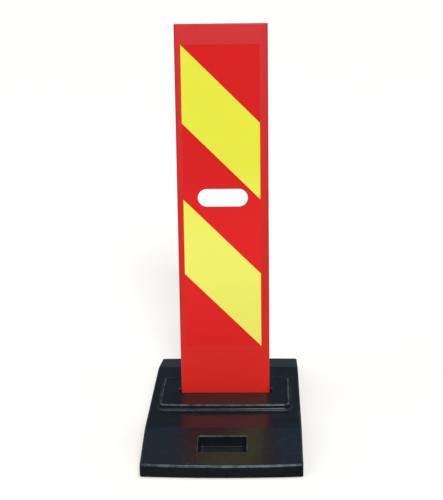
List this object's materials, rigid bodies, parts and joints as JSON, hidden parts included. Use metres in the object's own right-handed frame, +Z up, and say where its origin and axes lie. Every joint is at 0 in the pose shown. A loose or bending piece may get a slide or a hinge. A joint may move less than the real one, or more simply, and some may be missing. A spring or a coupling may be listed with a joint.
{
  "type": "delineator post",
  "caption": "Striped red and yellow marker board with a hand slot, wedged upright in the socket of a heavy black moulded base with ramped ends and grip pockets.",
  "frame": {"origin": "middle of the base's underside, at road level", "axes": "+Z up, the striped face looks towards -Y, +X to the right of someone facing the stripes"},
  "size_m": [0.4, 0.8, 1.06],
  "materials": {
    "base_moulding": "glossy black moulded recycled rubber",
    "board_plastic": "satin red extruded plastic",
    "red_sheeting": "smooth red retroreflective sheeting",
    "yellow_sheeting": "smooth fluorescent yellow-green retroreflective sheeting",
    "wedge_plastic": "matt black moulded plastic"
  },
  "bodies": {
    "base": {"base": "base_moulding"},
    "board": {"board": "board_plastic", "top_red_film": "red_sheeting", "upper_yellow_film": "yellow_sheeting", "middle_red_film": "red_sheeting", "lower_yellow_film": "yellow_sheeting", "bottom_red_film": "red_sheeting"},
    "left_wedge": {"left_wedge": "wedge_plastic"},
    "right_wedge": {"right_wedge": "wedge_plastic"}
  },
  "joints": [
    {"name": "board_lift", "type": "slide", "parent": "base", "child": "board", "axis": [0, 0, 1], "range_m": [0, 0.09]},
    {"name": "left_wedge_lift", "type": "slide", "parent": "base", "child": "left_wedge", "axis": [0, 0, 1], "range_m": [0, 0.08]},
    {"name": "right_wedge_lift", "type": "slide", "parent": "base", "child": "right_wedge", "axis": [0, 0, 1], "range_m": [0, 0.08]}
  ]
}
